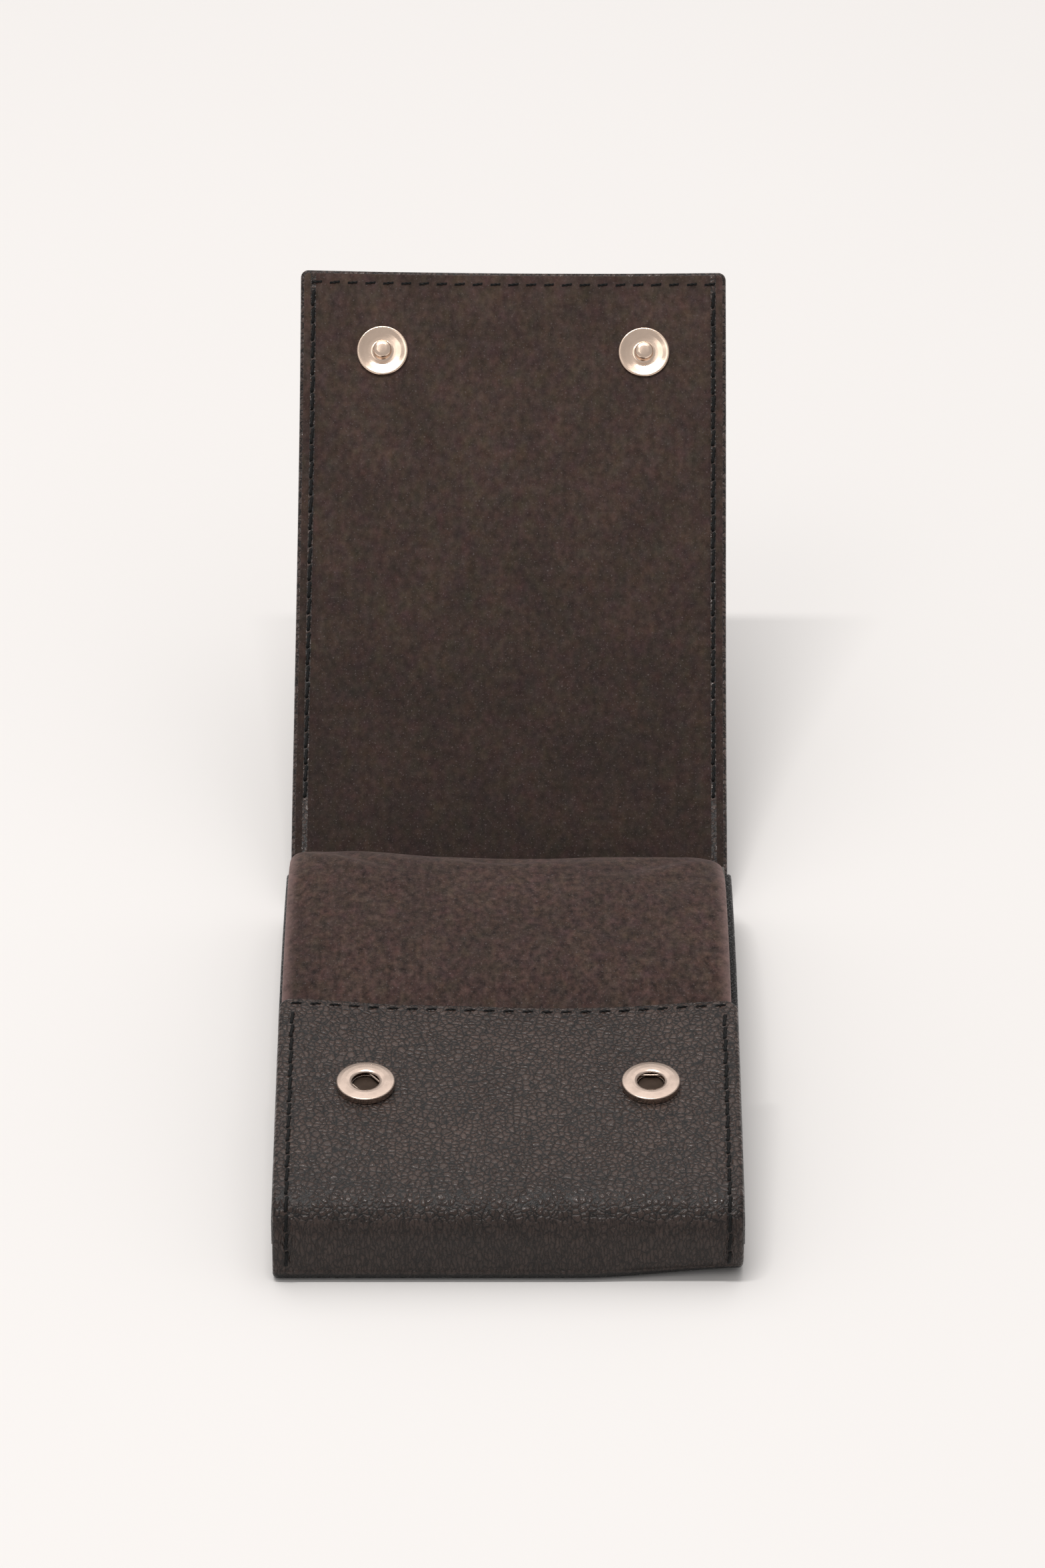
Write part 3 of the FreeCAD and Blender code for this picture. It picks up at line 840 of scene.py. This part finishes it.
# The sleeve pad's paler sides are a painted rim light.
sleeve_suede = suede(
    "sleeve_suede", (0.046, 0.0275, 0.0222), contrast=2.0, sheen=0.2, drawn=0.55,
    painted_rim_light_range=(SLEEVE_HALF - 3, SLEEVE_HALF + 0.8),
)
drawer_suede = suede("drawer_suede", (0.070, 0.050, 0.046), flat=False, contrast=0.9)
roll_suede = suede("roll_suede", (0.080, 0.058, 0.053), contrast=0.9)
black_thread = thread("black_thread", (0.003, 0.003, 0.003))
bright_metal = metal("plated_metal", (0.90, 0.70, 0.56), 0.17)
socket_metal = metal("socket_metal", (0.60, 0.475, 0.40), 0.22)
# Painted shade and painted reflection: near-black metal for the socket's side wall and hole.
painted_shade_metal = metal("shaded_metal", (0.05, 0.04, 0.034), 0.35)
wire_metal = metal("spring_wire", (0.50, 0.40, 0.33), 0.24)
# Painted shade: the seat deep in the socket's hole is coloured near black; its roughness is its own.
seat_metal_painted_shade = metal("dull_metal_painted_shade", (0.06, 0.042, 0.032), 0.45)
grey_card = card("grey_card", (0.12, 0.11, 0.10))
black_card = card("black_card", (0.030, 0.026, 0.025))


def dress(piece, *materials):
    """Gives a piece its materials, in the order that its faces count them."""
    piece.data.materials.clear()
    for material in materials:
        piece.data.materials.append(material)


# ---------------------------------------------------------------- the wrap

def cut_short(rows, end):
    """Those distances up to end, with end as the last one."""
    return [s for s in rows if s < end - 0.3] + [end]


def stations(*runs):
    """Distances along a path from runs of (start, end, pitch)."""
    result = []
    for start, end, pitch in runs:
        result += [s for s in spread(start, end, pitch) if not result or s > result[-1] + 1e-6]
    return result


# The closing flap and back wall: leather behind, suede in front
flap_rows = stations((1.2, 18, 1.5), (18, 28, 0.7), (28, flap_end, 2.0))
flap_shell = plate(
    "closing_flap_leather", on_back, flap_rows,
    HALF, (THICK, LEATHER_INSIDE), FLAP_CORNER, rim=FLAP_RIM,
)
dress(flap_shell, leather_paint, flap_paint)
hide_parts("flap_leather", "flap_board", "back_wall_leather", "back_wall_board")
flap_lining = plate(
    "closing_flap_lining", on_back, cut_short(flap_rows, flap_end - FLAP_RIM),
    HALF - FLAP_RIM, (LINING_DEPTH, 0.0), FLAP_CORNER - 0.5, groove=0.25,
)
dress(flap_lining, lining_suede)
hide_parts("flap_lining", "back_wall_lining")

flap_spots = side_spots(fold_s + 2, flap_end - 4) + cross_spots(flap_end - STITCH_INSET)
flap_thread_inside = stitches(
    "closing_flap_stitches_inside", on_back, flap_spots, THREAD_SUNK, -1,
)
flap_thread_outside = stitches(
    "closing_flap_stitches_outside", on_back,
    side_spots(2, fold_s - 1) + flap_spots, THICK - OUTSIDE_THREAD_SUNK, 1,
)
dress(flap_thread_inside, black_thread)
dress(flap_thread_outside, black_thread)
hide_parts("flap_stitching")
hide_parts("back_wall_stitching")
for piece, slot in (
    (flap_shell, "leather"), (flap_lining, "suede_lining"),
    (flap_thread_inside, "thread"), (flap_thread_outside, "thread"),
):
    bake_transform(piece)

# The back half of the base, which turns up into the back wall
root_end = BACK_Y + 1.5 + 1.6
root_rows = stations((0, 70, 5.0), (70, root_end, 0.8))
root_shell = plate("base_back_leather", on_root, root_rows, HALF, (THICK, LEATHER_INSIDE), rim=RIM)
root_lining = plate("base_back_lining", on_root, root_rows, HALF - RIM, (LINING_DEPTH, 0.0))
dress(root_shell, leather_paint, paint)
dress(root_lining, lining_suede)
for piece, slot in ((root_shell, "leather"), (root_lining, "suede_lining")):
    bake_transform(piece)

# The front half of the base, which turns up into the front wall
wall_seam = wall_start + 0.4
outer_depths = (0.0, THICK - LEATHER_INSIDE)
inner_depths = (THICK - LINING_DEPTH, THICK)
base_rows = stations(
    (BACK_Y, BASE_RUN - 12, 5.0), (BASE_RUN - 12, BASE_RUN, 1.5), (BASE_RUN, wall_seam, 0.5),
)
base_shell = plate("base_front_leather", on_front, base_rows, HALF, outer_depths, rim=RIM)
base_lining = plate("base_front_lining", on_front, base_rows, HALF - RIM, inner_depths)
dress(base_shell, edge_leather_painted_shadow, paint)
dress(base_lining, lining_suede)
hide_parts("base_leather", "base_board")
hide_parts("base_lining")
for piece, slot in ((base_shell, "leather"), (base_lining, "suede_lining")):
    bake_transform(piece)

# The front wall and front flap
front_rows = stations(
    (wall_seam, top_bend_start, 0.8), (top_bend_start, top_bend_end, 0.5), (top_bend_end, front_end, 1.6),
)
front_shell = plate(
    "front_leather", on_front, front_rows, HALF, outer_depths, FRONT_FLAP_CORNER, rim=RIM,
)
front_lining = plate(
    "front_lining", on_front, cut_short(front_rows, front_end - RIM),
    HALF - RIM, inner_depths, FRONT_FLAP_CORNER - 0.8,
)
dress(front_shell, front_paint, paint)
dress(front_lining, lining_suede)
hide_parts("front_wall_leather", "front_wall_board", "front_flap_leather", "front_flap_board")
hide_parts("front_wall_lining", "front_flap_lining")
front_thread = stitches(
    "front_stitches", on_front,
    side_spots(wall_start, front_end - 4) + cross_spots(front_end - TOP_ROW_INSET),
    THREAD_SUNK, -1,
)
dress(front_thread, black_thread)
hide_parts("front_wall_stitching", "front_flap_stitching")
for piece, slot in ((front_shell, "leather"), (front_lining, "suede_lining"), (front_thread, "thread")):
    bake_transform(piece)

# ---------------------------------------------------------------- snap fasteners

SOCKET_PROFILE = [
    (2.95, 0.0), (6.2, 0.0), (6.28, 0.1), (6.28, 1.40), (6.10, 1.52), (5.3, 1.64), (4.2, 1.7), (3.5, 1.66),
    (3.1, 1.5), (2.95, 1.3), (2.95, 1.15), (5.0, 1.1), (5.0, 0.5), (2.95, 0.45),
]
STUD_PROFILE = [
    (0.0, 0.0), (5.6, 0.0), (5.95, 0.2), (6.0, 0.6), (5.75, 0.82), (5.3, 0.76), (4.4, 0.5), (3.4, 0.32),
    (2.6, 0.26), (2.2, 0.36), (1.95, 0.8), (1.85, 1.3), (2.1, 1.7), (2.15, 2.05), (1.85, 2.4), (1.2, 2.6),
    (0.0, 2.66),
]
SEAT_PROFILE = [
    (0.0, 0.36), (1.2, 0.34), (2.0, 0.30), (2.75, 0.34), (2.8, 0.1), (2.0, 0.0),
    (2.0, -THICK), (0.0, -THICK),
]
SOCKET_WALL = 6.22
SOCKET_HOLE = 3.0
GROOVE_R = 4.5
WIRE_X = 2.56
WIRE_Z = 0.8
WIRE_R = 0.25
SPRING_TURN = {"left": 38, "right": 90}

# The spring is one bent wire: a bow round the back of the groove, and a leg at each side of the hole
bow_start = math.acos(WIRE_X / GROOVE_R)
bow = [
    Vector((GROOVE_R * math.cos(angle), GROOVE_R * math.sin(angle), WIRE_Z)) * MM
    for angle in spread(bow_start, math.pi - bow_start, 0.08)
]
half_wire = math.sqrt(GROOVE_R ** 2 - WIRE_X ** 2)
right_leg = [Vector((WIRE_X, -y, WIRE_Z)) * MM for y in spread(half_wire, -half_wire + 0.4, 0.5)]
left_leg = [Vector((-p.x, p.y, p.z)) for p in reversed(right_leg)]

for name, x in (("left", -SNAP_X), ("right", SNAP_X)):
    socket_spot = basis_on(on_front, front_end - SOCKET_FROM_EDGE, x, -0.02, -1)
    stud_spot = basis_on(on_back, fold_s + STUD_FROM_FOLD, x, -0.06, -1)

    ring = rounded(SOCKET_PROFILE, 0.10, closed=True)
    socket = lathe("socket_ring_" + name, ring + ring[:1])
    # The side wall and the hole take the near-black metal: painted shade and a painted dark reflection.
    for face in socket.data.polygons:
        reach = face.center.xy.length / MM
        if reach > SOCKET_WALL or reach < SOCKET_HOLE:
            face.material_index = 1
    wire = bmesh.new()
    tube(wire, right_leg + bow + left_leg, WIRE_R, 10)
    spring = finished("socket_wire_" + name, wire)
    spring.data.transform(Matrix.Rotation(math.radians(SPRING_TURN[name]), 4, "Z"))
    seat = lathe("socket_seat_" + name, rounded(SEAT_PROFILE, 0.12), 64)
    stud = lathe("stud_disc_" + name, rounded(STUD_PROFILE, 0.14))
    for piece, spot, node, body, slot, materials in (
        (socket, socket_spot, "socket_" + name, "front_flap", "snap_metal", (socket_metal, painted_shade_metal)),
        (spring, socket_spot, "socket_spring_" + name, "front_flap", "spring_steel", (wire_metal,)),
        (seat, socket_spot, "socket_rivet_" + name, "front_flap", "snap_metal", (seat_metal_painted_shade,)),
        (stud, stud_spot, "stud_" + name, "closing_flap", "snap_metal", (bright_metal,)),
    ):
        piece.data.transform(spot)
        dress(piece, *materials)
        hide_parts(node)
        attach(piece, body)

# ---------------------------------------------------------------- the padded sleeve

gap_depth = THICK + SLEEVE_GAP
flap_edge, edge_heading = at(front_path, front_end)
dome_foot = flap_edge + cmath.rect(gap_depth, edge_heading - math.pi / 2)
dome_peak = dome_foot + DOME_RADIUS * complex(math.sin(edge_heading), 1 - math.cos(edge_heading))
back_centre = complex(SLEEVE_BACK - BACK_ROUND, BACK_ROUND_Z)
across = back_centre.real - dome_peak.real
drop = dome_peak.imag - back_centre.imag
dome_back_radius = (across ** 2 + drop ** 2 - BACK_ROUND ** 2) / (2 * (drop - BACK_ROUND))
dome_back_angle = math.degrees(math.atan2(across, dome_back_radius - drop))


def sleeve_loop(depth, floor, corner, counts):
    """Points round the sleeve's side profile that far in, with so many on each of its pieces."""
    back_rise = back_centre.imag - floor - corner
    front_fall = LOW_RADIUS + FRONT_RISE - floor - corner
    start = complex(back_centre.real + BACK_ROUND - depth, floor + corner)
    pieces = [
        (back_rise, 0),
        arc(BACK_ROUND - depth, 90 - dome_back_angle),
        arc(dome_back_radius - depth, dome_back_angle),
        arc(DOME_RADIUS - depth, math.degrees(edge_heading)),
        arc(-FRONT_FLAP_ARC[0] + gap_depth + depth, -FRONT_FLAP_ARC[1]),
        arc(TOP_BEND[0] - gap_depth - depth, -TOP_BEND[1]),
        (front_fall, 0),
        arc(corner, 90),
    ]
    path = along(start, 90, pieces)
    floor_start = at(path, length_of(path))[0]
    pieces += [(start.real - corner - floor_start.real, 0), arc(corner, 90)]
    path = along(start, 90, pieces)
    points = []
    for (point, heading, length, turn), count in zip(path, counts):
        points += [step(point, heading, length * i / count, turn * i / count) for i in range(count)]
    return points


LOOP_COUNTS = (3, 8, 40, 11, 28, 6, 3, 4, 40, 4)
PAD_EDGE = 2.6
PAD_SHIFT = -0.45
pad_outer = sleeve_loop(0.35, SLEEVE_FLOOR + 0.1, 3.6, LOOP_COUNTS)
pad_inner = sleeve_loop(4.25, 4.0, 0.5, LOOP_COUNTS)
pad_rings = []
pad_coords = []
travelled = 0.0
for index, (outer, inner) in enumerate(zip(pad_outer, pad_inner)):
    travelled += abs(outer - pad_outer[index - 1]) if index else 0.0
    section = [(x, 0.0) for x in spread(-SLEEVE_HALF + PAD_EDGE, SLEEVE_HALF - PAD_EDGE, 2.4)]
    section += [
        (SLEEVE_HALF - PAD_EDGE * (1 - math.sin(math.radians(a))), (1 - math.cos(math.radians(a))) / 2)
        for a in (25, 50, 75, 105, 130, 155)
    ]
    back_way = [(-x, 1 - t) for x, t in section]
    ring = []
    flats = []
    for x, t in section + back_way:
        point = mix(outer, inner, t)
        ring.append(Vector((x + PAD_SHIFT, point.real, point.imag)) * MM)
        flats.append((x, travelled + 4 * t + PAD_START))
    pad_rings.append(ring)
    pad_coords.append(flats)
pad_rings.append(pad_rings[0])
pad_coords.append(pad_coords[0])
pad = surface("sleeve_pad", pad_rings, pad_coords, caps=(False, False))
inside = [Vector((p.real, p.imag)) for p in pad_inner]


def in_cavity_wall(co):
    """True for a point on the pad's inner face or its underside, which stay where they are."""
    near = min((Vector((co.y, co.z)) - p).length for p in inside)
    return near < 1.0 or co.z < SLEEVE_FLOOR + 0.6


inflate(pad, in_cavity_wall, 4.0, 1.0)


def settle_pad(co):
    """The pad's uneven top: higher at the back left, rounded away at its back right corner."""
    x, y, z = co / MM
    top = ease((z - 9) / 8)
    lift = 2.3 * math.exp(-(((x + 38) / 20) ** 2) - ((y - 58) / 24) ** 2)
    lift += 0.4 * math.exp(-(((x - 22) / 14) ** 2) - ((y - 60) / 20) ** 2)
    toward_back = ease((y - 50) / 20)
    lift -= 2.2 * ease((x - 41) / 9) * toward_back + 0.8 * ease((-x - 44) / 6) * toward_back
    lift += 0.22 * waves(x, y, 17, 11.0)
    return Vector((0, 0.3 * waves(x, z, 15, 5.0) * ease((y - 60) / 12), lift * top)) * MM


for vertex in pad.data.vertices:
    if not in_cavity_wall(vertex.co / MM):
        vertex.co += settle_pad(vertex.co)
subdivide(pad)
dress(pad, sleeve_suede)
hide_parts("sleeve_suede", "sleeve_foam")
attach(pad, "case")

# ---------------------------------------------------------------- cushions in the drawer


PILLOW_PITCH = 2.0
PILLOW_POINTS = 28


def pillow(name, node, crown, corner, cap):
    """A stuffed pad in a CAD solid's space: a crowned box with soft corners, swollen a little."""
    low, high = (Vector(c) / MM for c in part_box(node))
    centre = (low + high) / 2
    size = (high - low) / 2
    rings = []
    coords = []
    for u in spread(-1, 1, PILLOW_PITCH / size.x):
        taper = (1 - abs(u) ** 14) ** 0.5
        ring = []
        flats = []
        for index in range(PILLOW_POINTS):
            angle = 2 * math.pi * index / PILLOW_POINTS
            wide = math.copysign(abs(math.cos(angle)) ** corner, math.cos(angle))
            high_part = math.copysign(abs(math.sin(angle)) ** corner, math.sin(angle))
            lift = crown * (1 - u * u) * (1 - wide * wide) if high_part > 0 else 0.0
            y = centre.y + wide * (size.y - cap) * (0.55 + 0.45 * taper)
            z = centre.z + high_part * (size.z - cap) * (0.35 + 0.65 * taper) * 0.97 + lift
            ring.append(Vector((centre.x + u * (size.x - cap), y, max(z, low.z + 0.05))) * MM)
            flats.append((centre.x + u * size.x, PILLOW_START + angle * (size.y + size.z) / 3))
        rings.append(ring)
        coords.append(flats)
    piece = surface(name, rings, coords)
    inflate(piece, lambda co: co.z < low.z + 0.3, 3.0, cap)
    subdivide(piece)
    dress(piece, roll_suede)
    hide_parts(node)
    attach(piece, "drawer")


for number in (1, 2, 3):
    pillow("ring_roll_pad_" + str(number), "ring_roll_" + str(number), 0.4, 0.62, 0.5)
pillow("earring_pad", "earring_cushion", 0.5, 0.45, 0.4)

# ---------------------------------------------------------------- CAD nodes that show

for node, material in {
    "sleeve_board": grey_card,
    "drawer_tray": black_card,
    "drawer_lining": drawer_suede,
    "drawer_end_left": end_leather,
    "drawer_end_right": end_leather,
    "divider_long_back": drawer_suede,
    "divider_long_front": drawer_suede,
    "divider_cross_back": drawer_suede,
    "divider_cross_front": drawer_suede,
    "stud_rivet_left": wire_metal,
    "stud_rivet_right": wire_metal,
}.items():
    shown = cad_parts[node]
    if not shown.material_slots:
        shown.data.materials.append(material)
    for material_slot in shown.material_slots:
        material_slot.material = material

# ---------------------------------------------------------------- floor, light and camera

scene = bpy.context.scene
floor_mesh = bmesh.new()
bmesh.ops.create_grid(floor_mesh, x_segments=12, y_segments=12, size=4.0)
floor = finished("floor", floor_mesh)
floor_material, tree = new_material("pale_floor")
mottle = grain(tree, place_coords(tree, False), 3, 2).outputs["Fac"]
floor_dark = colour((0.86, 0.835, 0.815))
floor_light = colour((0.88, 0.86, 0.845))
output(tree, add(tree, "BsdfPrincipled", {
    "Base Color": blend_colour(tree, "MIX", mottle, floor_dark, floor_light),
    "Roughness": 0.85, "Specular IOR Level": 0.1,
}))
dress(floor, floor_material)


def softbox(name, spot, target, size, power, rgb=(1.0, 1.0, 1.0)):
    light = bpy.data.lights.new(name, "AREA")
    light.shape = "RECTANGLE"
    light.size, light.size_y = size
    light.energy = power
    light.color = rgb
    lamp = bpy.data.objects.new(name, light)
    scene.collection.objects.link(lamp)
    lamp.location = spot
    lamp.rotation_euler = (Vector(target) - Vector(spot)).to_track_quat("-Z", "Y").to_euler()


softbox("overhead", (-0.10, 0.80, 2.1), (0, 0.05, 0), (2.2, 2.2), 15.5, (1.0, 0.985, 0.975))
softbox("strip", (-0.25, -0.22, 2.1), (-0.25, -0.05, 0), (1.0, 0.09), 17, (1.0, 0.985, 0.97))
softbox("front_fill", (-0.9, -1.4, 2.4), (0, 0.05, 0), (1.0, 1.0), 4, (1.0, 0.97, 0.94))

world = bpy.data.worlds.new("studio")
scene.world = world
world.use_nodes = True
world.node_tree.nodes["Background"].inputs["Color"].default_value = (1.0, 0.985, 0.98, 1.0)
world.node_tree.nodes["Background"].inputs["Strength"].default_value = 0.49

camera_data = bpy.data.cameras.new("camera")
camera_data.lens = 183.67
camera_data.sensor_width = 36
camera_data.clip_end = 20
camera = bpy.data.objects.new("camera", camera_data)
scene.collection.objects.link(camera)
scene.camera = camera
camera.location = (0.00306, -1.4966, 0.9383)
camera.rotation_euler = Vector((0, 0.8669, -0.4985)).to_track_quat("-Z", "Y").to_euler()
scene.view_settings.view_transform = "Standard"
